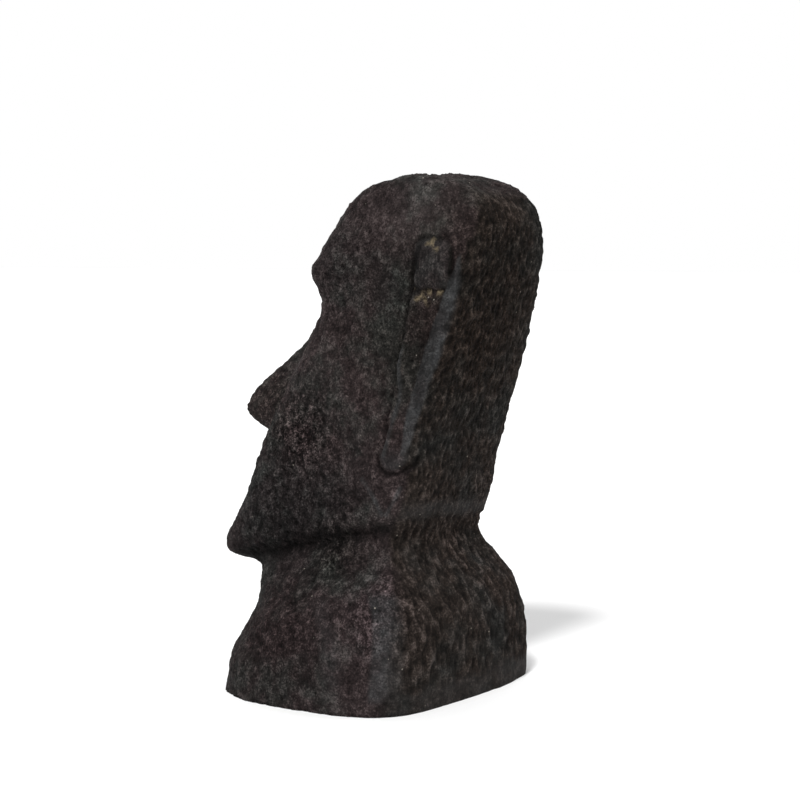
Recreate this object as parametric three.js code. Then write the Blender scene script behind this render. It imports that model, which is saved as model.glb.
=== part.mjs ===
import * as THREE from 'three';

// A moai: a long stone head with a heavy straight brow, a jutting nose and chin and long ears,
// leaning back over a short neck and a broad bust that is cut flat below. It is one solid.
// Millimetres, +Z up. The face looks towards -Y, and the left ear is on the +X side.
//
// The form is a stack of closed rings, one over the other. Each ring is a rounded rectangle
// between a point on the line of the back and a point on the line of the face, and it tips
// down towards the face, as the jaw does. The nose, eye sockets, lips and ears are then
// raised from the rings or sunk in them.

const statueHeight = 600;

// ---- How far each ring tips: [level of the ring, its height at the back or the front] ----
const jawLevel = 180;
const backOfRing = [[0, 0], [jawLevel, 202], [statueHeight, statueHeight]];
const frontOfRing = [[0, 0], [jawLevel, 145], [statueHeight, statueHeight]];

// ---- Side view: [height, y] ----
const lineOfBack = [
  [0, 132], [40, 134], [80, 133],       // the bust, nearly upright
  [108, 128], [126, 119], [145, 106],   // the shoulders, turning in
  [165, 92], [187, 86], [206, 93],      // the nape
  [240, 104], [290, 115], [420, 153],   // the straight back of the head, leaning back
  [480, 169], [518, 179], [540, 182],   // its highest reach
  [556, 179], [572, 168], [591, 136],   // the round edge over to the crown
  [597, 112], [600, 92],
];
const lineOfFace = [
  [0, -167], [40, -159], [75, -142],    // the chest
  [100, -133], [125, -140],             // the throat
  [136, -148], [141, -168], [146, -192], [152, -202],  // the underside of the chin
  [162, -203], [181, -193],             // the chin
  [224, -170], [262, -153], [296, -136], [361, -99], [430, -60],  // the plane of the cheeks
  [452, -52], [470, -57],               // the hollow under the brow
  [491, -65], [505, -57],               // the brow
  [533, -40], [560, -22], [574, -10], [587, 9],  // the forehead
  [596, 42], [600, 56],
];

// ---- Back and front view: [height, half width] at the back and at the front of a ring ----
const halfWidthAtBack = [
  [0, 157], [40, 155], [80, 148], [108, 143], [126, 139], [145, 130],
  [165, 115], [187, 104], [206, 108], [240, 106], [350, 105], [420, 101],
  [455, 100], [480, 95], [518, 87], [540, 78], [556, 73], [572, 68],
  [588, 64], [595, 58], [600, 38],
];
const halfWidthAtFront = [
  [0, 145], [40, 142], [75, 130], [100, 110], [120, 92], [132, 76],
  [138, 70], [146, 69], [154, 72], [224, 74], [296, 77], [361, 79],
  [446, 82], [491, 88], [533, 80], [560, 70], [580, 60], [595, 50], [600, 34],
];

// ---- Plan of a ring: [level, value] ----
const cornerPowerAtBack = [[0, 8.5], [150, 8.5], [200, 9], [statueHeight, 9]];
const cornerPowerAtFront = [[0, 3.2], [100, 3.2], [150, 4.2], [statueHeight, 4.4]];
const bulgeOfSides = [[0, 28], [100, 20], [160, 8], [200, 4], [statueHeight, 2]];
const bulgeOfBack = [[0, 12], [120, 12], [160, 8], [200, 6], [statueHeight, 5]];

// ---- Nose: [height, value] ----
const noseBottom = 284;
const noseTop = 458;
const noseReach = [
  [noseBottom, 0], [292, 7], [305, 34], [316, 54], [326, 61], [345, 61], [361, 53],
  [375, 43], [390, 34], [405, 28], [420, 25], [446, 22], [noseTop, 10],
];
const noseRidgeHalfWidth = [[noseBottom, 22], [305, 26], [324, 30], [345, 22], [400, 13], [446, 9]];
const noseFootHalfWidth = [[noseBottom, 40], [305, 44], [324, 46], [345, 38], [400, 28], [446, 22]];

// ---- Eye sockets ----
const socketDepth = 16;
const socketX = 42;
const socketHalfWidth = 27;
const socketZ = 446;
const socketRise = 22;
const socketDrop = 50;

// ---- Lips ----
const lips = [{ z: 264, reach: 6 }, { z: 245, reach: 5.5 }];
const lipHalfHeight = 11;
const mouthHalfWidth = 46;
const mouthCornerLength = 20;

// ---- Ears. Their place is given by the height and by the distance forward of the back ----
const earLobeZ = 290;
const earTopZ = 505;
const earBackEdge = 8;
const earFrontEdge = [[earLobeZ, 40], [400, 47], [earTopZ, 55]];
const earReach = 3.5;
const earEdgeWidth = 6;
const earHollowTopZ = 455;
const earHollowDepth = 2;
const earRimWidth = 9;
const earGrooveDepth = 2;
const earGrooveWidth = 6;
const earPad = { z: 496, halfHeight: 30, halfWidth: 20, fromBack: 34, reach: 1.5 };

// ---- Rings and columns: [where a span ends, steps in it] ----
const levelSpans = [
  [90, 5], [150, 5], [215, 10], [262, 4], [302, 6], [350, 7],
  [450, 8], [510, 7], [560, 4], [590, 5], [599, 3],
];
// Columns are counted in degrees round half a ring, from the middle of the back
// to the middle of the face. The ears and the face have the closest ones.
const columnSpans = [[40, 5], [50, 3], [64, 7], [125, 8], [145, 4], [180, 10]];

const stoneColour = 0x2e2928;
const stoneRoughness = 0.82;

const { clamp, degToRad, lerp, smoothstep } = THREE.MathUtils;

// A smooth curve through [place, value] pairs that never overshoots them: a cubic between
// each two pairs, with the harmonic mean of the slopes on both sides as the slope at a pair.
function curveThrough(pairs) {
  const places = pairs.map((pair) => pair[0]);
  const values = pairs.map((pair) => pair[1]);
  const last = pairs.length - 1;
  const gaps = places.slice(1).map((place, k) => place - places[k]);
  const steps = gaps.map((gap, k) => (values[k + 1] - values[k]) / gap);
  const slopes = values.map((value, k) => {
    if (k === 0) {
      return steps[0];
    }
    if (k === last) {
      return steps[last - 1];
    }
    if (steps[k - 1] * steps[k] <= 0) {
      return 0;
    }
    const before = 2 * gaps[k] + gaps[k - 1];
    const after = gaps[k] + 2 * gaps[k - 1];
    return (before + after) / (before / steps[k - 1] + after / steps[k]);
  });
  return (place) => {
    const at = clamp(place, places[0], places[last]);
    let k = 0;
    while (k < last - 1 && at > places[k + 1]) {
      k += 1;
    }
    const t = (at - places[k]) / gaps[k];
    const s = 1 - t;
    return values[k] * (1 + 2 * t) * s * s
      + slopes[k] * gaps[k] * t * s * s
      + values[k + 1] * t * t * (3 - 2 * t)
      - slopes[k + 1] * gaps[k] * t * t * s;
  };
}

// A smooth hill: 1 in the middle, 0 from a distance of 1 outwards.
function hill(distance) {
  const inside = Math.max(1 - distance * distance, 0);
  return inside * inside;
}

// 0 below the first edge, 1 above the second, a smooth step between; the edges may be swapped.
function step(from, to, value) {
  return from < to ? smoothstep(value, from, to) : 1 - smoothstep(value, to, from);
}

// The values at the ends of all the steps of a list of spans, from 0 on.
function divide(spans) {
  const values = [0];
  let start = 0;
  for (const [end, count] of spans) {
    for (let k = 1; k <= count; k += 1) {
      values.push(lerp(start, end, k / count));
    }
    start = end;
  }
  return values;
}

const ringBackZ = curveThrough(backOfRing);
const ringFrontZ = curveThrough(frontOfRing);
const backY = curveThrough(lineOfBack);
const faceY = curveThrough(lineOfFace);
const backHalf = curveThrough(halfWidthAtBack);
const frontHalf = curveThrough(halfWidthAtFront);
const backPower = curveThrough(cornerPowerAtBack);
const frontPower = curveThrough(cornerPowerAtFront);
const sideBulge = curveThrough(bulgeOfSides);
const backBulge = curveThrough(bulgeOfBack);
const noseOut = curveThrough(noseReach);
const noseRidge = curveThrough(noseRidgeHalfWidth);
const noseFoot = curveThrough(noseFootHalfWidth);
const earFront = curveThrough(earFrontEdge);

// One point of the plain form. The direction is turned into a point of a rounded square
// from -1 to 1: its powers are high at the back, for crisp edges, and low at the face.
function plainPoint(level, degrees) {
  const sine = Math.sin(degToRad(degrees));
  const cosine = Math.cos(degToRad(degrees));
  const towardsFace = smoothstep(0.5 - 0.5 * cosine, 0, 1);
  const power = lerp(backPower(level), frontPower(level), towardsFace);
  const size = (Math.abs(sine) ** power + Math.abs(cosine) ** power) ** (-1 / power);
  const across = sine * size;
  const along = cosine * size;
  const share = (1 - along) / 2;
  const zBack = ringBackZ(level);
  const zFront = ringFrontZ(level);
  const half = lerp(backHalf(zBack), frontHalf(zFront), share)
    + 4 * sideBulge(level) * share * (1 - share);
  const roundBack = backBulge(level) * across * across * Math.max(along, 0) ** 2;
  return {
    x: across * half,
    y: lerp(backY(zBack), faceY(zFront), share) - roundBack,
    z: lerp(zBack, zFront, share),
    across,
    along,
  };
}

// How far the face is carved towards -Y at a point of its front.
function faceRelief(x, z) {
  const aside = Math.abs(x);
  const inNose = z > noseBottom && z < noseTop;
  const nose = inNose ? noseOut(z) * (1 - smoothstep(aside, noseRidge(z), noseFoot(z))) : 0;
  const socketReach = z > socketZ ? socketRise : socketDrop;
  const socket = socketDepth * hill((z - socketZ) / socketReach)
    * hill((aside - socketX) / socketHalfWidth);
  const mouth = 1 - smoothstep(aside, mouthHalfWidth - mouthCornerLength, mouthHalfWidth);
  let relief = nose - socket;
  for (const lip of lips) {
    relief += lip.reach * mouth * hill((z - lip.z) / lipHalfHeight);
  }
  return relief;
}

// How far the side is raised at an ear: a long plate with round ends, hollow between its
// rims below, with a pad on its upper end and a groove along its front edge.
function earRelief(fromBack, z) {
  const onAxis = clamp(z, earLobeZ, earTopZ);
  const axis = (earFront(onAxis) + earBackEdge) / 2;
  const radius = (earFront(onAxis) - earBackEdge) / 2;
  const distance = Math.hypot(fromBack - axis, z - onAxis);
  const edge = earEdgeWidth / 2;
  const plate = earReach * step(radius + edge, radius - edge, distance);
  const hollow = earHollowDepth * step(radius - edge, radius - earRimWidth, distance)
    * step(earHollowTopZ, earHollowTopZ - earRimWidth, z);
  const groove = earGrooveDepth * hill((distance - radius - earGrooveWidth) / earGrooveWidth)
    * step(axis, axis + earRimWidth, fromBack);
  const padSpan = Math.max(
    Math.abs(fromBack - earPad.fromBack) / earPad.halfWidth,
    Math.abs(z - earPad.z) / earPad.halfHeight,
  );
  const pad = earPad.reach * step(1.1, 0.8, padSpan);
  return plate + pad - hollow - groove;
}

// One point of the finished form, on the +X half.
function carvedPoint(level, degrees) {
  const point = plainPoint(level, degrees);
  const inFront = step(0, -0.5, point.along);
  const onSide = step(0.6, 0.85, point.across);
  const fromBack = backY(point.z) - point.y;
  return new THREE.Vector3(
    point.x + onSide * earRelief(fromBack, point.z),
    point.y - inFront * faceRelief(point.x, point.z),
    point.z,
  );
}

// The closed skin: rings of columns, mirrored about the middle, with a hub in the flat
// underside and a hub in the crown.
function skin() {
  const levels = divide(levelSpans);
  const halfColumns = divide(columnSpans);
  const middle = halfColumns.length - 1;
  const columns = 2 * middle;
  const positions = [];
  for (const level of levels) {
    const half = halfColumns.map((degrees) => carvedPoint(level, degrees));
    for (let c = 0; c < columns; c += 1) {
      const mirrored = c > middle;
      const point = half[mirrored ? columns - c : c];
      const onMiddle = c === 0 || c === middle;
      positions.push(onMiddle ? 0 : point.x * (mirrored ? -1 : 1), point.y, point.z);
    }
  }
  const indices = [];
  for (let r = 0; r < levels.length - 1; r += 1) {
    for (let c = 0; c < columns; c += 1) {
      const next = (c + 1) % columns;
      const lowHere = r * columns + c;
      const lowNext = r * columns + next;
      const highHere = lowHere + columns;
      const highNext = lowNext + columns;
      if (c < middle) {
        indices.push(lowHere, highHere, highNext, lowHere, highNext, lowNext);
      } else {
        indices.push(lowHere, highHere, lowNext, lowNext, highHere, highNext);
      }
    }
  }
  const topRing = (levels.length - 1) * columns;
  const crownLevel = levels[levels.length - 1];
  const footHub = positions.length / 3;
  positions.push(0, (backY(0) + faceY(0)) / 2, 0);
  const crownHub = footHub + 1;
  positions.push(0, (backY(crownLevel) + faceY(crownLevel)) / 2, statueHeight);
  for (let c = 0; c < columns; c += 1) {
    const next = (c + 1) % columns;
    indices.push(footHub, c, next);
    indices.push(crownHub, topRing + next, topRing + c);
  }
  const geometry = new THREE.BufferGeometry();
  geometry.setAttribute('position', new THREE.Float32BufferAttribute(positions, 3));
  geometry.setIndex(indices);
  return geometry;
}

// The origin is under the middle of the statue's box, on the ground.
const geometry = skin();
geometry.computeBoundingBox();
const middleOfBox = geometry.boundingBox.getCenter(new THREE.Vector3());
geometry.translate(-middleOfBox.x, -middleOfBox.y, 0);
geometry.computeVertexNormals();

const stone = new THREE.MeshStandardMaterial({
  color: stoneColour,
  roughness: stoneRoughness,
  metalness: 0,
});

const head = new THREE.Mesh(geometry, stone);
head.name = 'moai_head';

const statue = new THREE.Group();
statue.add(head);

export default statue;
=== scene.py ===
import math
import bpy
import numpy as np
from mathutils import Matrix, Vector


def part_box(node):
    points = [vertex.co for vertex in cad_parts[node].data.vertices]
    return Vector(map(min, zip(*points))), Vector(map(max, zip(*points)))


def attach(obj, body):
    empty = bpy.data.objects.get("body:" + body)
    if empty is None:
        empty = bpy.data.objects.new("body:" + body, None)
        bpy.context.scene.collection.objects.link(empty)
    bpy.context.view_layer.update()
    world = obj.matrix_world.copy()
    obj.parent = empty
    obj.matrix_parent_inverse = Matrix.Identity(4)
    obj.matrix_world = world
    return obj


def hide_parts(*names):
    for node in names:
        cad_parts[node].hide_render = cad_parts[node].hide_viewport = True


# A moai: one carved stone head on a short bust. Lengths in the dictionaries are millimetres,
# except in look, studio and view, which use metres. Angles are degrees. +Z is up, the face
# looks towards -Y and the left ear is on the +X side.

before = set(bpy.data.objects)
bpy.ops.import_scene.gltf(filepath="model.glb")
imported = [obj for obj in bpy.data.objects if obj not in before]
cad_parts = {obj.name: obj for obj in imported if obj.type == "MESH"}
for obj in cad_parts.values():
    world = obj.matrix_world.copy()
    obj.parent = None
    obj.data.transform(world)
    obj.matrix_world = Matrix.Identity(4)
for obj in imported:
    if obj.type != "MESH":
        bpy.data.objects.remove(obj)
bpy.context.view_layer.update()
stoneLow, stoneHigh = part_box("moai_head")
print("frame loaded, stone is", [round(a, 4) for a in (stoneHigh - stoneLow)])

mm = 0.001

# the form, ring by ring
form = dict(
    height=600,
    # level of a ring -> its height at the back and at the front
    backOfRing=[[0, 0], [180, 202], [600, 600]],
    frontOfRing=[[0, 0], [180, 145], [600, 600]],
    # height -> y
    lineOfBack=[[0, 132], [40, 134], [80, 133], [108, 128], [126, 119], [145, 106], [165, 92],
                [187, 86], [206, 93], [240, 104], [290, 115], [420, 153], [480, 169], [518, 179],
                [540, 182], [556, 179], [572, 168], [591, 136], [597, 112], [600, 92]],
    lineOfFace=[[0, -167], [40, -159], [75, -142], [100, -133], [125, -140], [136, -148],
                [141, -168], [146, -192], [152, -202], [162, -203], [181, -193], [224, -170],
                [262, -153], [296, -136], [361, -99], [430, -60], [452, -52], [470, -57],
                [491, -65], [505, -57], [533, -40], [560, -22], [574, -10], [587, 9], [596, 42],
                [600, 56]],
    # height -> half width
    halfWidthAtBack=[[0, 157], [40, 155], [80, 148], [108, 143], [126, 139], [145, 130],
                     [165, 115], [187, 104], [206, 108], [240, 106], [350, 105], [420, 101],
                     [455, 100], [480, 95], [518, 87], [540, 78], [556, 73], [572, 68],
                     [588, 64], [595, 58], [600, 38]],
    halfWidthAtFront=[[0, 145], [40, 142], [75, 130], [100, 110], [120, 92], [132, 76],
                      [138, 70], [146, 69], [154, 72], [224, 74], [296, 77], [361, 79],
                      [446, 82], [491, 88], [533, 80], [560, 70], [580, 60], [595, 50],
                      [600, 34]],
    # level -> shape of the ring's plan
    cornerPowerAtBack=[[0, 8.5], [150, 8.5], [200, 9], [600, 9]],
    cornerPowerAtFront=[[0, 3.2], [100, 3.2], [150, 4.2], [600, 4.4]],
    bulgeOfSides=[[0, 28], [100, 20], [160, 8], [200, 4], [600, 2]],
    bulgeOfBack=[[0, 12], [120, 12], [160, 8], [200, 6], [600, 5]],
)

face = dict(
    noseBottom=284, noseTop=458,
    noseReach=[[284, 0], [292, 7], [305, 34], [316, 54], [326, 62], [345, 64], [361, 57],
               [375, 48], [390, 40], [405, 33], [420, 28], [446, 23], [458, 10]],
    noseRidgeHalfWidth=[[284, 22], [305, 26], [324, 30], [345, 22], [400, 13], [446, 9]],
    noseFootHalfWidth=[[284, 40], [305, 44], [324, 46], [345, 38], [400, 28], [446, 22]],
    socketDepth=16, socketX=42, socketHalfWidth=27, socketZ=446, socketRise=22, socketDrop=50,
    lips=[dict(z=264, reach=6), dict(z=245, reach=5.5)],
    lipHalfHeight=11, mouthHalfWidth=46, mouthCornerLength=20,
)


def curveThrough(pairs, place):
    # cubic through [place, value] pairs that never overshoots: the slope at a pair is the
    # weighted harmonic mean of the slopes beside it, and values are held beyond the ends
    at, values = np.array(pairs, float).T
    gaps = np.diff(at)
    steps = np.diff(values) / gaps
    slopes = np.zeros(len(at))
    slopes[0], slopes[-1] = steps[0], steps[-1]
    before = 2 * gaps[1:] + gaps[:-1]
    after = gaps[1:] + 2 * gaps[:-1]
    same = steps[:-1] * steps[1:] > 0
    low = np.where(same, steps[:-1], 1)
    high = np.where(same, steps[1:], 1)
    slopes[1:-1] = np.where(same, (before + after) / (before / low + after / high), 0)
    place = np.clip(place, at[0], at[-1])
    k = np.clip(np.searchsorted(at, place, side="left") - 1, 0, len(gaps) - 1)
    t = (place - at[k]) / gaps[k]
    s = 1 - t
    return (values[k] * (1 + 2 * t) * s * s + slopes[k] * gaps[k] * t * s * s
            + values[k + 1] * t * t * (3 - 2 * t) - slopes[k + 1] * gaps[k] * t * t * s)


def step(start, end, value):
    # 0 before start, 1 past end, 3t^2 - 2t^3 between; start may be the larger one
    t = np.clip((value - start) / (end - start), 0, 1)
    return t * t * (3 - 2 * t)


def hill(distance):
    # (1 - d^2)^2 inside a distance of 1, nothing outside
    return np.maximum(1 - distance * distance, 0) ** 2


def mix(a, b, share):
    return a + (b - a) * share


def plainStone(level, angle):
    # a ring is a rounded square |across|^p + |along|^p = 1, widened to the half widths and
    # laid between the line of the back (along = 1) and the line of the face (along = -1)
    sine, cosine = np.sin(angle), np.cos(angle)
    towardsFace = step(0, 1, 0.5 - 0.5 * cosine)
    power = mix(curveThrough(form["cornerPowerAtBack"], level),
                curveThrough(form["cornerPowerAtFront"], level), towardsFace)
    size = (np.abs(sine) ** power + np.abs(cosine) ** power) ** (-1 / power)
    across, along = sine * size, cosine * size
    share = (1 - along) / 2
    zBack = curveThrough(form["backOfRing"], level)
    zFront = curveThrough(form["frontOfRing"], level)
    half = mix(curveThrough(form["halfWidthAtBack"], zBack),
               curveThrough(form["halfWidthAtFront"], zFront), share)
    half = half + 4 * curveThrough(form["bulgeOfSides"], level) * share * (1 - share)
    roundBack = curveThrough(form["bulgeOfBack"], level) * (across * np.maximum(along, 0)) ** 2
    x = across * half
    y = mix(curveThrough(form["lineOfBack"], zBack),
            curveThrough(form["lineOfFace"], zFront), share) - roundBack
    z = mix(zBack, zFront, share) + 0 * x
    return x, y, z, across + 0 * x, along + 0 * x


def faceRelief(x, z):
    # towards -Y: a nose with a flat ridge and sloping flanks, two sunk sockets, two lips
    aside = np.abs(x)
    inNose = (z > face["noseBottom"]) & (z < face["noseTop"])
    ridge = curveThrough(face["noseRidgeHalfWidth"], z)
    foot = curveThrough(face["noseFootHalfWidth"], z)
    nose = np.where(inNose, curveThrough(face["noseReach"], z) * (1 - step(ridge, foot, aside)), 0)
    reach = np.where(z > face["socketZ"], face["socketRise"], face["socketDrop"])
    socket = face["socketDepth"] * hill((z - face["socketZ"]) / reach)
    socket = socket * hill((aside - face["socketX"]) / face["socketHalfWidth"])
    corner = face["mouthHalfWidth"] - face["mouthCornerLength"]
    mouth = 1 - step(corner, face["mouthHalfWidth"], aside)
    lips = sum(lip["reach"] * hill((z - lip["z"]) / face["lipHalfHeight"]) for lip in face["lips"])
    return nose - socket + mouth * lips


# noise, pits and tool marks
tableSize = 1024
layerFade = 0.55        # height of a layer of noise, as a share of the layer before
shallowest = 0.4        # depth of the shallowest pit, as a share of the deepest


def cellNumbers(cells, seed):
    # a number from 0 to 1 for each whole-number cell: a look-up in a shuffled list for x,
    # then one for that plus y, then one for that plus z
    shuffled = np.random.default_rng(seed).permutation(tableSize)
    picked = shuffled[cells[..., 0] % tableSize]
    picked = shuffled[(picked + cells[..., 1]) % tableSize]
    picked = shuffled[(picked + cells[..., 2]) % tableSize]
    return picked / tableSize


def softNoise(points, spacing, seed):
    # numbers from -1 to 1 on a cubic lattice, blended between its corners with 3t^2 - 2t^3
    scaled = points / spacing
    cell = np.floor(scaled).astype(int)
    t = scaled - cell
    t = t * t * (3 - 2 * t)
    total = 0
    for corner in np.ndindex(2, 2, 2):
        weight = np.prod(np.where(np.array(corner) == 1, t, 1 - t), axis=-1)
        total = total + weight * cellNumbers(cell + np.array(corner), seed)
    return 2 * total - 1


def roughNoise(points, spacing, layers, seed):
    # soft noise summed over layers, each of half the spacing and less of the height than the
    # one before, and divided by the sum of the heights
    total, height, most = 0, 1.0, 0.0
    for k in range(layers):
        total = total + height * softNoise(points, spacing / 2 ** k, seed + k)
        most += height
        height *= layerFade
    return total / most


def pits(points, kind, seed):
    # the deepest pit over each point, from 0 to 1: a cubic cell holds at most one pit, thrown
    # about inside it, and a pit is depth * (1 - (distance / radius)^2)^2 deep
    cell = np.floor(points / kind["spacing"]).astype(int)
    deepest = np.zeros(points.shape[:-1])
    for offset in np.ndindex(3, 3, 3):
        there = cell + np.array(offset) - 1
        middle = np.stack([cellNumbers(there, seed + k) for k in range(3)], axis=-1)
        middle = (there + middle) * kind["spacing"]
        size = mix(*kind["radius"], cellNumbers(there, seed + 3) ** 2)
        deep = mix(shallowest, 1, cellNumbers(there, seed + 4))
        deep = deep * (cellNumbers(there, seed + 5) < kind["chance"])
        distance = np.linalg.norm(points - middle, axis=-1) / size
        deepest = np.maximum(deepest, deep * hill(distance))
    return deepest


strokes = dict(
    # how far a cut strays from the middle of its cell, in cells, its size and its lean
    sideways=0.3, upward=0.45, size=(0.75, 1.2), lean=0.22,
    reach=0.66, deeperBelow=0.35, deepest=1.2,
    layer=7,        # keeps the cuts' cell numbers apart from the rows' own
)


def gouges(u, v, width, length, seed):
    # overlapping cuts of a round gouge, from 0 between two cuts to about 1 in the middle of
    # one: a cut is size - (du / (reach * width))^2 - (dv / (reach * length))^2, a little
    # deeper towards its foot, and the deepest one is taken
    spread, rise, lean, reach = (strokes[k] for k in ("sideways", "upward", "lean", "reach"))
    row = np.floor(v / length).astype(int)
    deepest = np.zeros(u.shape)
    for dRow in (-1, 0, 1):
        r = row + dRow
        shift = cellNumbers(np.stack([r, 0 * r, 0 * r], axis=-1), seed)
        column = np.floor(u / width - shift).astype(int)
        for dColumn in (-2, -1, 0, 1, 2):
            c = column + dColumn
            cell = np.stack([c, r, 0 * r + strokes["layer"]], axis=-1)
            toSide = mix(-spread, spread, cellNumbers(cell, seed + 1))
            upward = mix(-rise, rise, cellNumbers(cell, seed + 2))
            size = mix(*strokes["size"], cellNumbers(cell, seed + 3))
            leaning = mix(-lean, lean, cellNumbers(cell, seed + 4))
            dv = v - (r + 0.5 + upward) * length
            du = u - (c + 0.5 + shift + toSide) * width - leaning * dv
            cut = size - (du / (reach * width)) ** 2 - (dv / (reach * length)) ** 2
            deepest = np.maximum(deepest, cut * (1 - strokes["deeperBelow"] * dv / length))
    return np.clip(deepest, 0, strokes["deepest"])


# the grid of the skin
skin = dict(
    columns=404, rows=238, crownRings=8,
    # angle round the ring from the middle of the back -> gap between columns
    columnGaps=[[-180, 2.7], [-130, 2.5], [-62, 2.2], [-48, 1.5], [0, 1.35], [48, 1.35],
                [60, 1.6], [125, 1.75], [145, 2.3], [180, 2.7]],
    # level -> gap between rings
    rowGaps=[[0, 3.4], [90, 3.0], [140, 2.3], [420, 2.3], [560, 2.2], [600, 2.6]],
    # the gaps are laid out on one ring and on the mean of a few columns, finely divided
    gaugeLevel=400, gaugeAngles=(0.0, 60.0, 90.0, 120.0, 180.0), fineAngles=7201, fineLevels=4801,
    faceFrom=(0, -0.5),     # where along a ring the face's relief sets in
)


def evenPlaces(places, lengths, gaps, count):
    # count places so spaced that each gap is the wanted one, all scaled alike to fit
    steps = np.concatenate([[0], np.cumsum(lengths / curveThrough(gaps, places[1:]))])
    return np.interp(np.linspace(0, steps[-1], count), steps, places)


def segmentLengths(points):
    return np.linalg.norm(np.diff(points, axis=0), axis=-1)


fineAngles = np.linspace(-180, 180, skin["fineAngles"])
gauge = np.stack(plainStone(float(skin["gaugeLevel"]), np.radians(fineAngles))[:3], axis=-1)
columnAngles = evenPlaces(fineAngles, segmentLengths(gauge), skin["columnGaps"], skin["columns"] + 1)
columnAngles = np.radians(columnAngles[:-1])
fineLevels = np.linspace(0, form["height"], skin["fineLevels"])
rises = [segmentLengths(np.stack(plainStone(fineLevels, np.radians(a))[:3], axis=-1))
         for a in skin["gaugeAngles"]]
levels = evenPlaces(fineLevels, np.mean(rises, axis=0), skin["rowGaps"], skin["rows"])

level, angle = levels[:, None], columnAngles[None, :]
x, y, z, across, along = plainStone(level, angle)
side = np.sign(x)
inFront = step(*skin["faceFrom"], along)
y = y - inFront * faceRelief(x, z)
fromBack = curveThrough(form["lineOfBack"], z) - y
print("skin grid", x.shape)

# v is the length up each column, and u the arc length round each ring from the middle of the
# back: the geometric mean of the ring's own and the gauge ring's
ringStep = np.sqrt((x - np.roll(x, 1, 1)) ** 2 + (y - np.roll(y, 1, 1)) ** 2)
middle = int(np.argmin(np.abs(columnAngles)))
ringPlace = np.cumsum(ringStep, axis=1)
ringPlace = ringPlace - ringPlace[:, middle:middle + 1]
gaugeRow = int(np.argmin(np.abs(levels - skin["gaugeLevel"])))
u = np.sign(ringPlace) * np.sqrt(np.abs(ringPlace * ringPlace[gaugeRow]))
riseStep = np.sqrt(np.diff(x, axis=0) ** 2 + np.diff(y, axis=0) ** 2 + np.diff(z, axis=0) ** 2)
v = np.concatenate([np.zeros((1, x.shape[1])), np.cumsum(riseStep, axis=0)])

# the carving on the sides
ears = dict(
    sideFade=(0.6, 0.85),       # how far across a ring the ears set in
    # height and gap of the noise that shifts their lines, on the right and then on the left
    wanderForward=((2.2, 55), (0.9, 30)), wanderUp=((2.5, 60), (0.8, 30)),
    # height -> distance forward of the back; the ear runs from the lobe to the pad
    plateFront=[[275, 40], [310, 47], [530, 70]], plateBack=8,
    lobeZ=286, topZ=505, plateReach=3.2, edge=7,
    grooveLine=[[280, 47], [530, 74]],
    grooveWidth=5.5, grooveDepth=2.0, grooveSpan=(282, 535), grooveFade=14,
    hollowEdge=(-3, -9), hollowDepth=2.0, hollowSpan=(318, 462), hollowFade=14,
    bandFront=[[284, 22], [320, 27], [355, 29], [420, 26], [475, 21], [512, 19]],
    bandBack=[[284, 20], [296, 14], [345, 12], [405, 9], [475, 8], [512, 17]],
    bandEdge=(-0.8, 2.2), bandReach=2.0, bandSpan=(284, 512), bandFade=5,
    ridgeLine=[[280, 43], [345, 42], [395, 57], [412, 58]],
    ridgeWidth=4.0, ridgeReach=3.0, ridgeSpan=(278, 412), ridgeFade=10,
    # the lobe's edges are shares of its radius, and it sets in below the given heights
    lobe=dict(fromBack=31, z=286, radius=20, reach=2.0, edge=(1.0, 0.75), zFade=(312, 285),
              rimAt=1.16, rimDepth=3.0, rimWidth=4.5, rimZFade=(292, 276)),
    pad=dict(fromBack=49, z=499.5, halfWidth=23, halfHeight=26, corner=9, lean=0.33,
             reach=2.6, edge=2.2, grooveOff=3.0, grooveWidth=4.5, grooveDepth=1.6,
             scoreGap=4.6, scoreDepth=0.8),
    # how worn with a painted sheen, and how much painted shade, each of these takes
    wornSheen=dict(ridge=0.8, pad=0.35, lobe=0.5, lobeEdge=(1.0, 0.8), lobeZFade=(300, 280)),
    paintedShade=dict(lowGroove=0.4, fullFrom=(430, 470), padGroove=0.8, hollow=0.2, score=0.4),
)


def boxDistance(du, dv, halfWidth, halfHeight, corner):
    # distance outside a rectangle with rounded corners, negative inside it
    a = np.abs(du) - halfWidth + corner
    b = np.abs(dv) - halfHeight + corner
    outside = np.hypot(np.maximum(a, 0), np.maximum(b, 0))
    return outside + np.minimum(np.maximum(a, b), 0) - corner


def lineDistance(du, dv, points):
    # shortest distance to a chain of straight pieces through the points
    nearest = np.full(np.shape(du), np.inf)
    for (ax, ay), (bx, by) in zip(points[:-1], points[1:]):
        length2 = (bx - ax) ** 2 + (by - ay) ** 2
        t = np.clip(((du - ax) * (bx - ax) + (dv - ay) * (by - ay)) / length2, 0, 1)
        nearest = np.minimum(nearest, np.hypot(du - ax - t * (bx - ax), dv - ay - t * (by - ay)))
    return nearest


def window(span, value, soft):
    # 1 between the two ends of a span, falling to 0 over a soft length inside each end
    return step(span[0], span[0] + soft, value) * step(span[1], span[1] - soft, value)


points = np.stack([x, y, z], axis=-1)


def wander(sides, seed):
    right, left = (tall * roughNoise(points, gap, 2, seed) for tall, gap in sides)
    return np.where(side < 0, right, left)


# both sides stray, the right one further, so that it isn't the left one's mirror image
f = fromBack + wander(ears["wanderForward"], 11)
h = z + wander(ears["wanderUp"], 17)


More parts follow.
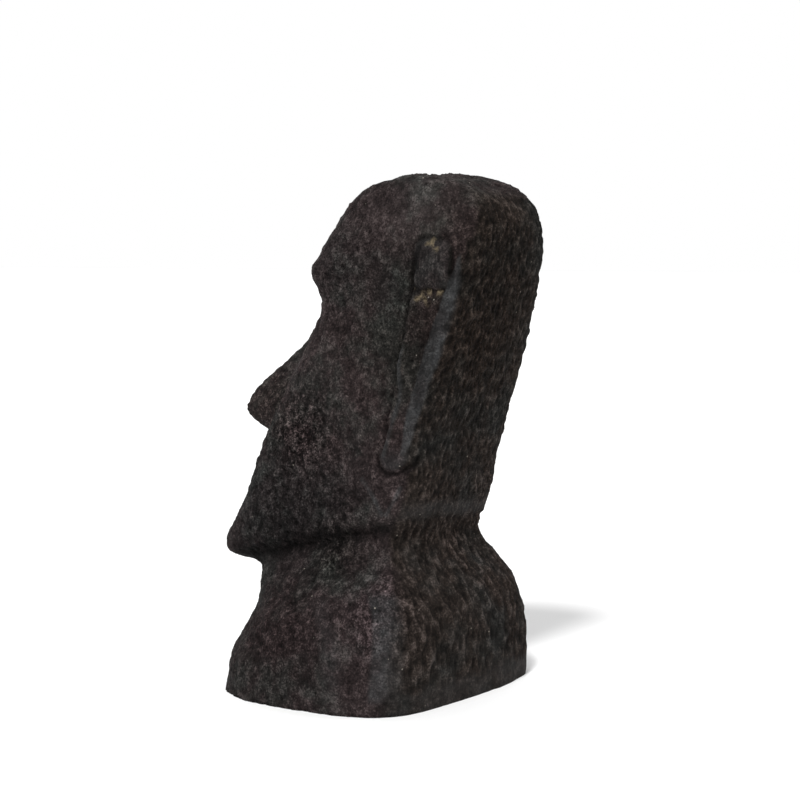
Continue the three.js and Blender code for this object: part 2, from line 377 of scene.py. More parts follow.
def earRelief(f, h):
    # a long plate with a round lobe, a shallow hollow inside it, a groove before it, a band worn smooth
    # along its back edge, a thin ridge, and a scored pad on its upper end
    onAxis = np.clip(h, ears["lobeZ"], ears["topZ"])
    front = curveThrough(ears["plateFront"], onAxis)
    axis, radius = (front + ears["plateBack"]) / 2, (front - ears["plateBack"]) / 2
    distance = np.hypot(f - axis, h - onAxis) - radius
    plate = ears["plateReach"] * step(ears["edge"] / 2, -ears["edge"] / 2, distance)
    hollow = ears["hollowDepth"] * step(*ears["hollowEdge"], distance)
    hollow = hollow * window(ears["hollowSpan"], h, ears["hollowFade"])
    groove = hill((f - curveThrough(ears["grooveLine"], h)) / ears["grooveWidth"])
    groove = ears["grooveDepth"] * groove * window(ears["grooveSpan"], h, ears["grooveFade"])
    bandFront = curveThrough(ears["bandFront"], h)
    bandBack = curveThrough(ears["bandBack"], h)
    inside = np.minimum(bandFront - f, f - bandBack)
    band = step(*ears["bandEdge"], inside) * window(ears["bandSpan"], h, ears["bandFade"])
    ridge = hill((f - curveThrough(ears["ridgeLine"], h)) / ears["ridgeWidth"])
    ridge = ridge * window(ears["ridgeSpan"], h, ears["ridgeFade"])

    lobe = ears["lobe"]
    toLobe = np.hypot(f - lobe["fromBack"], h - lobe["z"]) / lobe["radius"]
    lobeUp = lobe["reach"] * step(*lobe["edge"], toLobe) * step(*lobe["zFade"], h)
    rim = hill((toLobe - lobe["rimAt"]) * lobe["radius"] / lobe["rimWidth"])
    rim = rim * step(*lobe["rimZFade"], h)

    pad = ears["pad"]
    padMiddle = pad["fromBack"] + pad["lean"] * (h - pad["z"])
    toPad = boxDistance(f - padMiddle, h - pad["z"], pad["halfWidth"], pad["halfHeight"], pad["corner"])
    padUp = step(pad["edge"], -pad["edge"], toPad)
    padGroove = hill((toPad - pad["grooveOff"]) / pad["grooveWidth"])
    score = hill(2 * (((f - padMiddle) / pad["scoreGap"]) % 1 - 0.5)) * pad["scoreDepth"]

    up = plate - hollow - groove + ears["bandReach"] * band + ears["ridgeReach"] * ridge + lobeUp
    up = up - lobe["rimDepth"] * rim + pad["reach"] * padUp
    up = up - pad["grooveDepth"] * padGroove - score * padUp
    # the polished places take a painted sheen, and the groove, the hollow, the scores, the pad's groove
    # and the lobe's rim take painted shade
    wornSheen, paintedShade = ears["wornSheen"], ears["paintedShade"]
    onLobe = step(*wornSheen["lobeEdge"], toLobe) * step(*wornSheen["lobeZFade"], h)
    wornAndSheened = band + wornSheen["ridge"] * ridge + wornSheen["pad"] * padUp + wornSheen["lobe"] * onLobe
    shaded = mix(paintedShade["lowGroove"], 1, step(*paintedShade["fullFrom"], h)) * groove / ears["grooveDepth"]
    shaded = shaded + rim + paintedShade["padGroove"] * padGroove
    shaded = shaded + paintedShade["hollow"] * hollow / ears["hollowDepth"] + paintedShade["score"] * score * padUp
    return up, np.clip(wornAndSheened, 0, 1), np.clip(shaded, 0, 1)


onSide = step(*ears["sideFade"], np.abs(across))
earUp, polish, earShade = earRelief(f, h)
earUp, polish, earShade = earUp * onSide, polish * onSide, earShade * onSide
x = x + side * earUp
print("ears carved")

# the rest of the carving, along the skin's own normal
carving = dict(
    # a line or a surface that strays: gap and height of its noise
    uneven=(58, 1.5), unevenFine=(26, 0.9), rimStray=(25, 7), cutStray=(40, 3.0),
    napeBandStray=(20, 4), jawStray=(16, 1.6), napeStray=(22, 2.5), arrisStray=(12, 0.45),
    backFaces=(0.45, 0.8),              # how far towards +Y a normal points on the back
    headFrom=(186, 208),                # level from which the rings belong to the head
    sideLift=1.7, backLift=1.8,         # outward, so that the cuts leave the size as it is
    grainGap=11, grainHeight=2.2,       # rough skin of the sides
    backGrain=0.3, polishSmooths=0.75,
    lumps=dict(spacing=7.5, radius=(2.5, 5.5), chance=0.6, height=1.3),
    coarsePits=dict(spacing=9.0, radius=(3.0, 7.0), chance=0.75, depth=2.8),
    finePits=dict(spacing=5.2, radius=(2.2, 4.0), chance=0.85, depth=1.8),
    strongArea=dict(y=-50, z=298, halfY=62, halfZ=62, more=1.4),
    neckArea=dict(y=12, z=166, halfY=75, halfZ=26, more=1.0),
    # cuts over the back, and the height over which the bust's give way to the head's
    gougeWidth=5.8, gougeLength=13, gougeDepth=2.4,
    shoulderWidth=7.4, shoulderLength=21, shoulderDepth=3.3, headCutsFrom=(205, 235),
    backRimTop=34, backRimFade=16, rimPolish=0.35,
    # y from the middle -> height of the jaw's edge and of the groove under it, and its depth
    jawEdge=[[-165, 164], [-60, 187], [100, 214]],
    jawGroove=[[-160, 143], [0, 181], [100, 204]],
    jawDepth=[[-160, 0], [-120, 6], [-60, 8], [40, 6.5], [100, 2]],
    jawStarts=(-172, -150), jawRise=11, jawLip=1.0, jawLipRise=2, jawLipWidth=6,
    pleatDrop=17, pleatReach=1.8, pleatWidth=10,
    creaseDrop=28, creaseDepth=1.3, creaseWidth=3.5, creaseFrom=(-20, 20),
    # x -> height of the nape's groove, and a smoother band above it
    napeLine=[[-110, 197], [0, 205], [110, 210]], napeDepth=1.8, napeWidth=5,
    napeBandRise=11, napeBandHalf=17, napeBandSmooths=0.65, napeBandPolish=0.45,
    # height -> y from the middle of a hollow on the bust's side, and a ridge behind it
    body=dict(line=[[10, 24], [75, 10], [125, -20]], halfWidth=24, depth=3.0, span=(2, 140),
              fade=30, ridgeOff=36, ridgeHalfWidth=20, ridgeReach=1.6, ridgeSpan=(10, 135),
              ridgePolish=0.3),
    # a worn band down the bust, given a painted sheen: distances forward of the back, and heights
    band=dict(span=(14, 49), fade=6, zSpan=(10, 138), zFade=14, lessOnBack=0.5, polish=0.85),
    # chains of points, distance forward of the back and height: two folds, a notch in the
    # foot, and the broken edges of the pad
    jawFold=[(70, 256), (31, 218)], jawFoldBack=[(19, 248), (26, 218)],
    foldReach=1.2, foldWidth=4, foldTop=262, foldPolish=0.7,
    notch=[(33, 40), (26, 31), (20, 14)], notchDepth=1.8, notchWidth=3.2, notchTop=60,
    cracks=[[(63, 521), (51, 519), (44, 516), (35, 519)], [(57, 526), (46, 515)],
            [(43, 527), (51, 516)], [(62, 471), (48, 466), (26, 468)],
            [(59, 457), (46, 467), (36, 474)], [(38, 456), (49, 468)]],
    crackDepth=1.5, crackWidth=1.9, chipWidth=4.6, chipGap=6, chipFrom=(-0.1, 0.35),
    arrisDepth=1.5, arrisHeight=5.0, arrisWorn=0.55,
    # the height that counts as fully proud, and how much darker than flat painted shade makes a cut
    fullyProud=2.4, cutShadeTone=1.7, cutMost=1.1,
)

dRow = np.stack([np.gradient(a, axis=0) for a in (x, y, z)], axis=-1)
dColumn = np.stack([(np.roll(a, -1, 1) - np.roll(a, 1, 1)) / 2 for a in (x, y, z)], axis=-1)
normal = np.cross(dColumn, dRow)
normal = normal / np.maximum(np.linalg.norm(normal, axis=-1, keepdims=True), 1e-9)
if normal[:, middle, 1].mean() < 0:
    normal = -normal
normal[-1] = (0, 0, 1)
points = np.stack([x, y, z], axis=-1)

backFacing = step(*carving["backFaces"], normal[..., 1])
onHead = step(*carving["headFrom"], level + 0 * x)
leftSide = (side > 0) * (1 - backFacing)


def stray(name, seed):
    gap, tall = carving[name]
    return tall * softNoise(points, gap, seed)


relief = stray("uneven", 21) + stray("unevenFine", 22)

fromMiddle = y - (y.min() + y.max()) / 2      # along Y, from the middle of the stone
strong = carving["strongArea"]
nearNose = hill(np.clip(np.hypot((fromMiddle - strong["y"]) / strong["halfY"],
                                 (z - strong["z"]) / strong["halfZ"]), 0, 1)) * (1 - backFacing)
neck = carving["neckArea"]
neckDistance = np.hypot((fromMiddle - neck["y"]) / neck["halfY"], (z - neck["z"]) / neck["halfZ"])
onNeck = hill(np.clip(neckDistance, 0, 1))
roughShare = (1 - backFacing) * (1 - carving["polishSmooths"] * polish)
roughShare = roughShare * (1 + strong["more"] * nearNose + neck["more"] * onNeck)
coarse, fine = carving["coarsePits"], carving["finePits"]
coarsePit = pits(points, coarse, 31)
finePit = pits(points, fine, 41)
grain = roughNoise(points, carving["grainGap"], 3, 51)
lumps = carving["lumps"]
lump = pits(points, lumps, 56)
sideRelief = (carving["sideLift"] + carving["grainHeight"] * grain - coarse["depth"] * coarsePit
              - fine["depth"] * finePit + lumps["height"] * lump)
relief = relief + roughShare * sideRelief

rimTop, rimFoot = carving["backRimTop"], carving["backRimTop"] - carving["backRimFade"]
rimFade = step(rimFoot, rimTop, z + stray("rimStray", 61))
bend = stray("cutStray", 62)
headCuts = gouges(u + bend, v, carving["gougeWidth"], carving["gougeLength"], 71)
bustCuts = gouges(u + bend, v, carving["shoulderWidth"], carving["shoulderLength"], 81)
upHead = step(*carving["headCutsFrom"], z)
cuts = mix(carving["shoulderDepth"] * bustCuts, carving["gougeDepth"] * headCuts, upHead)
napeZ = curveThrough(carving["napeLine"], x)
napeBand = z - napeZ - carving["napeBandRise"] + stray("napeBandStray", 63)
napeBand = hill(napeBand / carving["napeBandHalf"])
fluteShare = backFacing * rimFade * (1 - carving["napeBandSmooths"] * napeBand)
# worn, smoother places on the back, which take a painted sheen
wornSheenBack = np.maximum(carving["napeBandPolish"] * napeBand, carving["rimPolish"] * (1 - rimFade))
polish = np.maximum(polish, backFacing * wornSheenBack)
relief = relief + fluteShare * (carving["backLift"] - cuts) + carving["backGrain"] * backFacing * grain

# under the jaw's edge a plane leans in to a groove, and the neck swells out again below it
besides = (1 - backFacing) * step(*carving["jawStarts"], fromMiddle)
edgeZ = curveThrough(carving["jawEdge"], fromMiddle)
grooveZ = curveThrough(carving["jawGroove"], fromMiddle)
jawZ = z + stray("jawStray", 91)
underEdge = np.clip((edgeZ - jawZ) / (edgeZ - grooveZ), 0, 1)
overNeck = step(-1, 0, (jawZ - grooveZ) / carving["jawRise"])
jawGroove = underEdge * overNeck
relief = relief - besides * curveThrough(carving["jawDepth"], fromMiddle) * jawGroove
lipOff = jawZ - edgeZ - carving["jawLipRise"]
relief = relief + besides * carving["jawLip"] * hill(lipOff / carving["jawLipWidth"])
pleatOff = jawZ - grooveZ + carving["pleatDrop"]
relief = relief + besides * carving["pleatReach"] * hill(pleatOff / carving["pleatWidth"])
creaseOff = jawZ - grooveZ + carving["creaseDrop"]
crease = carving["creaseDepth"] * hill(creaseOff / carving["creaseWidth"])
relief = relief - besides * step(*carving["creaseFrom"], fromMiddle) * crease

napeGroove = backFacing * hill((z - napeZ + stray("napeStray", 92)) / carving["napeWidth"])
relief = relief - carving["napeDepth"] * napeGroove

for fold in (carving["jawFold"], carving["jawFoldBack"]):
    folded = hill(lineDistance(f, h, fold) / carving["foldWidth"]) * leftSide
    folded = folded * (z < carving["foldTop"])
    relief = relief + carving["foldReach"] * folded
    polish = np.maximum(polish, carving["foldPolish"] * folded)

body = carving["body"]
toHollow = fromMiddle - curveThrough(body["line"], z)
bodyHollow = hill(toHollow / body["halfWidth"]) * window(body["span"], z, body["fade"])
bodyRidge = hill((toHollow - body["ridgeOff"]) / body["ridgeHalfWidth"])
bodyRidge = bodyRidge * window(body["ridgeSpan"], z, body["fade"])
relief = relief - (1 - backFacing) * (body["depth"] * bodyHollow - body["ridgeReach"] * bodyRidge)

band = carving["band"]
bodyBand = window(band["span"], f, band["fade"]) * window(band["zSpan"], z, band["zFade"])
bodyBand = bodyBand * (1 - onHead) * onSide * (1 - band["lessOnBack"] * backFacing)
polish = np.maximum(polish, band["polish"] * bodyBand)
polish = np.maximum(polish, body["ridgePolish"] * bodyRidge * (1 - backFacing))

notched = hill(lineDistance(f, h, carving["notch"]) / carving["notchWidth"])
notched = notched * (side > 0) * (z < carving["notchTop"])
relief = relief - carving["notchDepth"] * notched

chip = 0
for crack in carving["cracks"]:
    toCrack = lineDistance(f, h, crack)
    relief = relief - carving["crackDepth"] * hill(toCrack / carving["crackWidth"]) * leftSide
    chip = np.maximum(chip, hill(toCrack / carving["chipWidth"]) * leftSide)
chip = chip * step(*carving["chipFrom"], softNoise(points, carving["chipGap"], 97))

worn = np.exp(-z / carving["arrisHeight"]) * (carving["arrisWorn"] + stray("arrisStray", 95))
relief = relief - carving["arrisDepth"] * worn

# painted light and shade from the relief: how far each point stands above or below its surroundings,
# about -1 to 1, lighter where it stands out and darker in the cuts
sideLightShade = np.clip(sideRelief / carving["fullyProud"], -1, 1) * np.clip(roughShare, 0, 1)
cutShare = cuts / mix(carving["shoulderDepth"], carving["gougeDepth"], upHead)
cutShare = np.clip(cutShare, 0, carving["cutMost"])
reliefLightShade = sideLightShade + fluteShare * (1 - carving["cutShadeTone"] * cutShare)
# painted shade in the ear's grooves and in the groove under the jaw
grooveShade = np.clip(earShade + besides * jawGroove, 0, 1)
carved = points + relief[..., None] * normal
carved[0, :, 2] = 0
print("carving done, relief from", round(float(relief.min()), 2), "to", round(float(relief.max()), 2))

# broad areas of colour and grain, each strongest at its middle and fading out with distance; their
# colours also hold painted light and shade, a paler lit crown and a darker chin and jaw
areas = dict(
    wander=12, wanderGap=40,        # how far their outlines stray, and over what length
    # name: middle, reach, what multiplies its red, green and blue, how harsh its grain is
    places=dict(
        litCrown=((75, 100, 565), 32, (1.7, 1.95, 1.95), 0.6),
        brow=((75, -15, 500), 42, (0.8, 0.85, 0.85), 1.4),
        greenTemple=((90, 80, 470), 28, (0.85, 1.05, 1.05), 1.0),
        crystals=((85, -60, 305), 34, (0.7, 0.65, 0.65), 2.8),
        noseTip=((30, -140, 330), 32, (0.75, 0.75, 0.7), 2.0),
        chin=((80, -110, 205), 52, (0.4, 0.45, 0.45), 1.8),
        jaw=((95, -20, 215), 40, (0.6, 0.65, 0.65), 1.4),
        neck=((100, 5, 172), 24, (0.75, 0.8, 0.75), 2.0),
        shoulderCorner=((135, 85, 110), 30, (1.2, 1.15, 1.2), 1.8),
        chest=((150, -45, 85), 50, (0.65, 0.6, 0.6), 1.7),
        rearCorner=((55, 160, 450), 90, (0.65, 0.6, 0.55), 1.4),
        farBack=((-60, 120, 180), 70, (1.2, 1.15, 1.15), 1.4),
    ),
)


def areaValues(points):
    # the product, over all areas, of the area's values to the power exp(-distance^2 / (2 reach^2))
    total = 0
    for middle, reach, tintAndShade, grain in areas["places"].values():
        weight = np.exp(-np.sum((points - np.array(middle)) ** 2, axis=-1) / (2 * reach ** 2))
        total = total + weight[..., None] * np.log2(np.array([*tintAndShade, grain]))
    return 2.0 ** total


strays = np.stack([roughNoise(points, areas["wanderGap"], 2, 101 + k) for k in range(3)], axis=-1)
strayed = points + areas["wander"] * strays
# the right side takes the left side's areas, and each half of the back has its own
strayed[..., 0] = np.abs(strayed[..., 0]) * np.where(backFacing > 0.5, np.sign(x), 1)
areaColourAndShade = areaValues(strayed)

# the crown and the underside are closed, and the stone fills its solid's box
closing = dict(
    rough=0.9, roughGap=16, pits=dict(spacing=7.5, radius=(2.4, 5.0), chance=0.8, depth=0.6),
    sink=0.9, most=0.8, hubSink=1.2, inset=0.02,
)

hub = np.array([0, (carved[-1, :, 1].min() + carved[-1, :, 1].max()) / 2, form["height"]])
shares = np.linspace(1, 0, skin["crownRings"] + 2)[1:-1, None, None]
crown = hub + (carved[-1] - hub) * shares
flatCrown = closing["rough"] * roughNoise(crown, closing["roughGap"], 3, 23)
flatCrown = flatCrown - closing["pits"]["depth"] * pits(crown, closing["pits"], 24)
crown[..., 2] = crown[..., 2] - closing["sink"] + np.minimum(flatCrown, closing["most"])
rings = np.concatenate([carved, crown])
foot = np.array([[0, carved[0, :, 1].mean(), 0]])
top = np.array([[0, hub[1], form["height"] - closing["hubSink"]]])
vertices = np.concatenate([rings.reshape(-1, 3), foot, top])

inset = closing["inset"]
wantLow = np.array(stoneLow) / mm + inset * np.array([1, 1, 0])
wantHigh = np.array(stoneHigh) / mm - inset
low, high = vertices.min(0), vertices.max(0)
fit = (wantHigh - wantLow) / (high - low)
vertices = (vertices - low) * fit + wantLow
print("fitted to the box by", fit.round(4))

rowCount, columnCount = rings.shape[:2]
indices = np.arange(rowCount * columnCount).reshape(rowCount, columnCount)
here, after = indices, np.roll(indices, -1, axis=1)
quads = np.stack([here[:-1], after[:-1], after[1:], here[1:]], axis=-1).reshape(-1, 4)
footHub, crownHub = len(vertices) - 2, len(vertices) - 1
footFan = np.stack([np.full(columnCount, footHub), after[0], here[0]], axis=-1)
crownFan = np.stack([np.full(columnCount, crownHub), here[-1], after[-1]], axis=-1)

mesh = bpy.data.meshes.new("moaiHead")
mesh.from_pydata((vertices * mm).tolist(), [], quads.tolist() + footFan.tolist() + crownFan.tolist())
# smooth all over, apart from the flat underside
smooth = np.ones(len(mesh.polygons), bool)
smooth[len(quads):len(quads) + columnCount] = False
mesh.polygons.foreach_set("use_smooth", smooth)


def onAllRings(values):
    # a value for each vertex: the last ring's own on the crown, 0 on the two hubs
    more = np.repeat(values[-1:], skin["crownRings"], axis=0)
    return np.concatenate([values, more]).ravel().tolist() + [0, 0]


for name, values in (("polish", polish), ("reliefLightShade", reliefLightShade), ("groove", grooveShade), ("flute", fluteShare),
                     ("backFacing", backFacing), ("chip", chip)):
    layer = mesh.attributes.new(name, "FLOAT", "POINT")
    layer.data.foreach_set("value", np.array(onAllRings(values), np.float32))

tintAndShadeLayer = mesh.attributes.new("tintAndShade", "FLOAT_COLOR", "POINT")
tintsAndShade = [np.array(onAllRings(areaColourAndShade[..., k])) for k in range(4)]
tintAndShadeLayer.data.foreach_set("color", np.stack(tintsAndShade, axis=-1).ravel().astype(np.float32))

# a map of the skin in metres, across and up, for marks that run along it
uAll, vAll = (np.array(onAllRings(lengths)) * mm for lengths in (u, v))
corners = np.zeros(len(mesh.loops), np.int32)
mesh.loops.foreach_get("vertex_index", corners)
mapped = np.stack([uAll[corners], vAll[corners]], axis=-1)
mesh.uv_layers.new(name="alongSkin").data.foreach_set("uv", mapped.ravel().astype(np.float32))
mesh.validate()
head = bpy.data.objects.new("moai_head_stone", mesh)
bpy.context.scene.collection.objects.link(head)
print("stone mesh:", len(mesh.vertices), "points,", 2 * len(quads) + 2 * columnCount, "triangles")

# the finish
finish = dict(
    purple=(0.0195, 0.0142, 0.0142), green=(0.0150, 0.0147, 0.0137), brown=(0.0185, 0.0142, 0.0120),
    wornAndSheened=(0.0275, 0.0278, 0.0285), palest=(0.085, 0.072, 0.070), fleckGlint=(0.30, 0.27, 0.23),
    ochre=(0.17, 0.135, 0.085),
)


class Nodes:
    # a short way to write a node tree: each call makes a node, sets its sockets and links it
    def __init__(self, material):
        self.tree = material.node_tree
        self.tree.nodes.clear()

    def add(self, kind, inputs=None, **settings):
        node = self.tree.nodes.new(kind)
        for key, value in settings.items():
            setattr(node, key, value)
        for key, value in (inputs or {}).items():
            socket = node.inputs[key]
            if isinstance(value, bpy.types.NodeSocket):
                self.tree.links.new(value, socket)
            elif socket.type == "RGBA":
                socket.default_value = (*value, 1)
            else:
                socket.default_value = value
        return node

    def math(self, operation, a, b=0.0, clamp=False):
        node = self.add("ShaderNodeMath", {0: a, 1: b}, operation=operation, use_clamp=clamp)
        return node.outputs[0]

    def plus(self, a, b):
        return self.math("ADD", a, b)

    def minus(self, a, b):
        return self.math("SUBTRACT", a, b)

    def times(self, a, b, clamp=False):
        return self.math("MULTIPLY", a, b, clamp)

    def blend(self, share, a, b, how="MIX"):
        node = self.add("ShaderNodeMix", {0: share, 6: a, 7: b}, data_type="RGBA", blend_type=how)
        return node.outputs[2]

    def range(self, value, fromLow, fromHigh, toLow=0.0, toHigh=1.0):
        inputs = {0: value, 1: fromLow, 2: fromHigh, 3: toLow, 4: toHigh}
        return self.add("ShaderNodeMapRange", inputs).outputs[0]

    def noise(self, vector, scale, detail, roughness):
        inputs = {"Vector": vector, "Scale": scale, "Detail": detail, "Roughness": roughness}
        return self.add("ShaderNodeTexNoise", inputs).outputs[0]

    def grey(self, value):
        return self.add("ShaderNodeCombineColor", {0: value, 1: value, 2: value}).outputs[0]

    def attribute(self, name):
        return self.add("ShaderNodeAttribute", attribute_name=name).outputs["Fac"]


look = dict(
    # a noise is its scale, detail and roughness; an edge or a from is two values it fades over
    patches=(17, 4, 0.6), patchEdge=(0.44, 0.62),
    backPatches=(13, 4, 0.6), backPatchEdge=(0.46, 0.64),
    lumps=(115, 5, 0.68), speckle=(420, 4, 0.7), cloud=(34, 4, 0.6), winding=(75, 2, 0.55),
    # how much each of these lightens or darkens, as a power of 2
    lumpTone=5.5, speckleTone=5.6, cloudTone=2.6, grooveShadeTone=1.8, windingTone=1.5,
    # the share of the relief's painted light and shade, on the sides and on the back
    sideLift=0.8, backLift=0.85,
    windingWidth=0.030, windingFrom=(0.42, 0.56),
    palestFrom=(0.6, 2.0), palestMost=0.30,
    wornSheenTone=0.6, sheenFrom=(0.3, 0.6), sheenShare=(0.35, 0.95),
    ochreFrom=(0.4, 0.6), ochreShare=(0.25, 0.95),
    fleckScale=210.0, fleckEdge=(0.24, 0.12), fleckFrom=(0.990, 0.994), fleckShare=0.8,
    # the bump: small pits, tool lines stretched along the flutes, and each one's share
    pitScale=300.0, lineStretch=(900.0, 90.0, 1.0), lines=(1.0, 3, 0.6),
    lumpBump=1.5, speckleBump=0.5, pitBump=0.9, pitBumpLostOnBack=0.6, lineBump=0.9,
    bumpStrength=0.8, bumpLostToPolish=0.5, bumpHeight=0.0020,
    roughFrom=(0.3, 0.7), rough=(0.74, 0.92), roughLostToPolish=0.16, specular=0.06,
)


def stoneFinish():
    material = bpy.data.materials.new("carvedStone")
    material.use_nodes = True
    n = Nodes(material)
    here = n.add("ShaderNodeTexCoord").outputs["Object"]
    skinMap = n.add("ShaderNodeUVMap", uv_map="alongSkin").outputs[0]
    polishShare, reliefLightShade, groove = n.attribute("polish"), n.attribute("reliefLightShade"), n.attribute("groove")
    back, flutes = n.attribute("backFacing"), n.attribute("flute")

    # purple stone with soft green patches, brown over the back
    patches = n.range(n.noise(here, *look["patches"]), *look["patchEdge"])
    sides = n.blend(patches, finish["purple"], finish["green"])
    backPatches = n.range(n.noise(here, *look["backPatches"]), *look["backPatchEdge"])
    backs = n.blend(backPatches, finish["brown"], finish["green"])
    colour = n.blend(back, sides, backs)

    # painted light on what stands proud and painted shade in what lies deep, with random grain on top:
    # 2 to the power of the height
    tintAndShade = n.add("ShaderNodeAttribute", attribute_name="tintAndShade")
    harsh = tintAndShade.outputs["Alpha"]
    lumps, speckle, cloud = (n.noise(here, *look[name]) for name in ("lumps", "speckle", "cloud"))
    lumpsUp = n.times(n.minus(lumps, 0.5), look["lumpTone"])
    speckleUp = n.times(n.minus(speckle, 0.5), look["speckleTone"])
    grain = n.times(n.plus(lumpsUp, speckleUp), harsh)
    reliefShadeShare = n.range(back, 0.0, 1.0, look["sideLift"], look["backLift"])
    proud = n.plus(grain, n.times(reliefLightShade, reliefShadeShare))
    proud = n.plus(proud, n.times(n.minus(cloud, 0.5), look["cloudTone"]))
    # painted shade in the grooves
    proud = n.minus(proud, n.times(groove, look["grooveShadeTone"]))
    # dark winding pits on the sides: where a coarse noise passes through its middle value
    winding = n.math("ABSOLUTE", n.minus(n.noise(here, *look["winding"]), 0.5))
    winding = n.range(winding, look["windingWidth"], 0.0)
    winding = n.times(winding, n.range(lumps, *look["windingFrom"]))
    winding = n.times(winding, n.range(back, 0.0, 1.0, look["windingTone"], 0.0))
    proud = n.minus(proud, winding)
    tone = n.math("POWER", 2.0, proud)
    colour = n.blend(1.0, colour, n.grey(tone), "MULTIPLY")
    # a painted highlight: a pale colour where the grain and the painted light run highest
    palestShare = n.range(proud, *look["palestFrom"], 0.0, look["palestMost"])
    colour = n.blend(palestShare, colour, finish["palest"])
    # the broad areas' colour, with its painted light and shade
    colour = n.blend(1.0, colour, tintAndShade.outputs["Color"], "MULTIPLY")
    # worn smooth places with a painted sheen: bluish grey and more even
    wornSheen = n.math("POWER", 2.0, n.times(proud, look["wornSheenTone"]))
    wornSheen = n.blend(1.0, finish["wornAndSheened"], n.grey(wornSheen), "MULTIPLY")
    sheen = n.times(polishShare, n.range(cloud, *look["sheenFrom"], *look["sheenShare"]))
    colour = n.blend(sheen, colour, wornSheen)
    # ochre where the pad's edges have broken
    broken = n.range(speckle, *look["ochreFrom"], *look["ochreShare"])
    broken = n.times(n.attribute("chip"), broken)
    colour = n.blend(broken, colour, finish["ochre"])

    # a few pale mineral flecks, painted bright as glints
    cells = n.add("ShaderNodeTexVoronoi",
                  {"Vector": here, "Scale": look["fleckScale"], "Randomness": 1.0})
    chosen = n.add("ShaderNodeSeparateColor", {0: cells.outputs["Color"]}).outputs[0]
    fleckGlint = n.range(cells.outputs["Distance"], *look["fleckEdge"])
    fleckGlint = n.times(fleckGlint, n.range(chosen, *look["fleckFrom"]))
    colour = n.blend(n.times(fleckGlint, look["fleckShare"]), colour, finish["fleckGlint"])

    # grain, small pits and fine tool lines that run up the back
    smallPits = n.add("ShaderNodeTexVoronoi", {"Vector": here, "Scale": look["pitScale"]})
    alongFlutes = n.add("ShaderNodeMapping", {"Vector": skinMap, "Scale": look["lineStretch"]})
    lines = n.noise(alongFlutes.outputs[0], *look["lines"])
    pitBump = n.minus(look["pitBump"], n.times(back, look["pitBumpLostOnBack"]))
    height = n.plus(n.times(lumps, look["lumpBump"]), n.times(speckle, look["speckleBump"]))
    height = n.plus(height, n.times(smallPits.outputs["Distance"], pitBump))
    height = n.plus(height, n.times(lines, n.times(flutes, look["lineBump"])))
    strength = n.minus(look["bumpStrength"], n.times(polishShare, look["bumpLostToPolish"]))
    strength = n.times(strength, harsh, clamp=True)
    bump = n.add("ShaderNodeBump",
                 {"Strength": strength, "Distance": look["bumpHeight"], "Height": height})

    rough = n.range(speckle, *look["roughFrom"], *look["rough"])
    rough = n.minus(rough, n.times(polishShare, look["roughLostToPolish"]))
    shader = n.add("ShaderNodeBsdfPrincipled",
                   {"Base Color": colour, "Roughness": rough, "Normal": bump.outputs[0],
                    "Specular IOR Level": look["specular"]})
    n.add("ShaderNodeOutputMaterial", {"Surface": shader.outputs[0]})
    return material


mesh.materials.append(stoneFinish())
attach(head, "root")
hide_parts("moai_head")
print("stone finished")

# floor, light and camera
studio = dict(
    floorSize=80.0, floorColour=(0.93, 0.93, 0.93), floorRoughness=0.95, floorSpecular=0.1,
    seen=1.0, around=0.36,      # brightness of the room to the camera, and as a light
    # broad soft lights from far off: where from, strength, width in degrees
    lights=[
        dict(name="key", towards=(0.66, 0.20, 0.72), strength=3.0, width=10),
        dict(name="edge", towards=(-0.55, 0.65, 0.55), strength=0.5, width=16),
        dict(name="fill", towards=(-0.60, -0.65, 0.45), strength=1.8, width=100),
    ],
)
# azimuth is round Z, from -Y towards +X; down and turn aim the camera; lens is in millimetres
view = dict(azimuth=123.8, distance=2.39, height=0.511, down=4.2, turn=0.66, lens=91.5)

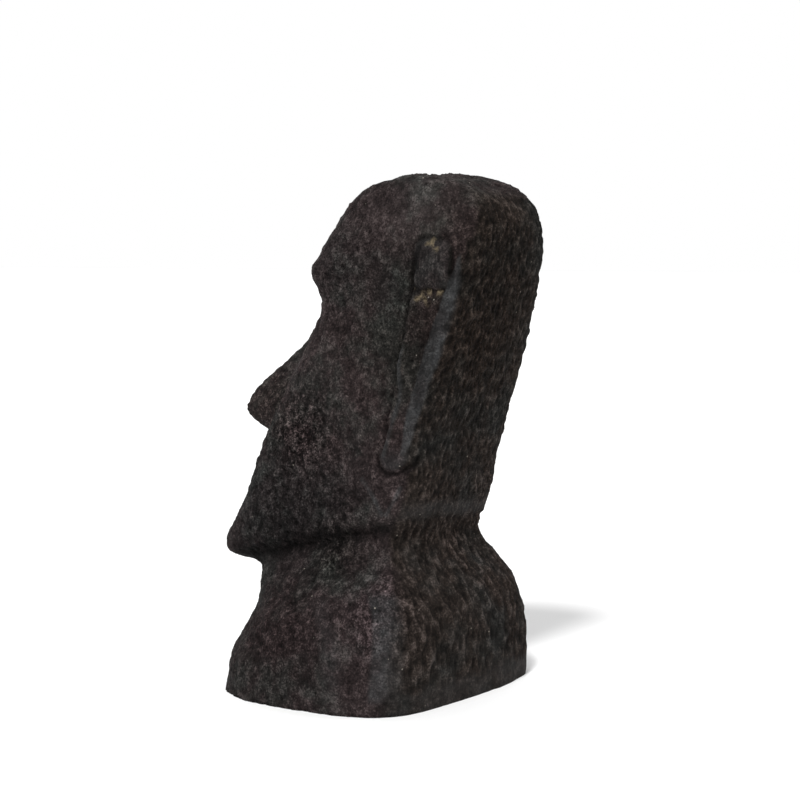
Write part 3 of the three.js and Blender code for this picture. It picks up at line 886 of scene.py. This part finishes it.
floorMesh = bpy.data.meshes.new("floor")
half = studio["floorSize"] / 2
floorCorners = [(-half, -half, 0), (half, -half, 0), (half, half, 0), (-half, half, 0)]
floorMesh.from_pydata(floorCorners, [], [(0, 1, 2, 3)])
floor = bpy.data.objects.new("floor", floorMesh)
bpy.context.scene.collection.objects.link(floor)
paper = bpy.data.materials.new("palePaper")
paper.use_nodes = True
paperInputs = paper.node_tree.nodes["Principled BSDF"].inputs
paperInputs["Base Color"].default_value = (*studio["floorColour"], 1)
paperInputs["Roughness"].default_value = studio["floorRoughness"]
paperInputs["Specular IOR Level"].default_value = studio["floorSpecular"]
floorMesh.materials.append(paper)

# the room is white to look at and dimmer as a light
world = bpy.data.worlds.new("softWhite")
world.use_nodes = True
room = world.node_tree
lightPath = room.nodes.new("ShaderNodeLightPath")
brightness = room.nodes.new("ShaderNodeMapRange")
brightness.inputs["To Min"].default_value = studio["around"]
brightness.inputs["To Max"].default_value = studio["seen"]
room.links.new(lightPath.outputs["Is Camera Ray"], brightness.inputs["Value"])
room.links.new(brightness.outputs[0], room.nodes["Background"].inputs["Strength"])
room.nodes["Background"].inputs["Color"].default_value = (1, 1, 1, 1)
bpy.context.scene.world = world

for lamp in studio["lights"]:
    data = bpy.data.lights.new(lamp["name"], "SUN")
    data.energy, data.angle = lamp["strength"], math.radians(lamp["width"])
    light = bpy.data.objects.new(lamp["name"], data)
    light.rotation_euler = Vector(lamp["towards"]).to_track_quat("Z", "Y").to_euler()
    bpy.context.scene.collection.objects.link(light)

azimuth, down, turn = (math.radians(view[k]) for k in ("azimuth", "down", "turn"))
away = Vector((math.sin(azimuth), -math.cos(azimuth), 0))
rightward = Vector((math.cos(azimuth), math.sin(azimuth), 0))
ahead = -away * math.cos(down) - Vector((0, 0, math.sin(down)))
forward = ahead * math.cos(turn) + rightward * math.sin(turn)
cameraData = bpy.data.cameras.new("camera")
cameraData.lens = view["lens"]
camera = bpy.data.objects.new("camera", cameraData)
camera.location = away * view["distance"] + Vector((0, 0, view["height"]))
camera.rotation_euler = forward.to_track_quat("-Z", "Y").to_euler()
bpy.context.scene.collection.objects.link(camera)
bpy.context.scene.camera = camera
bpy.context.scene.view_settings.view_transform = "Standard"
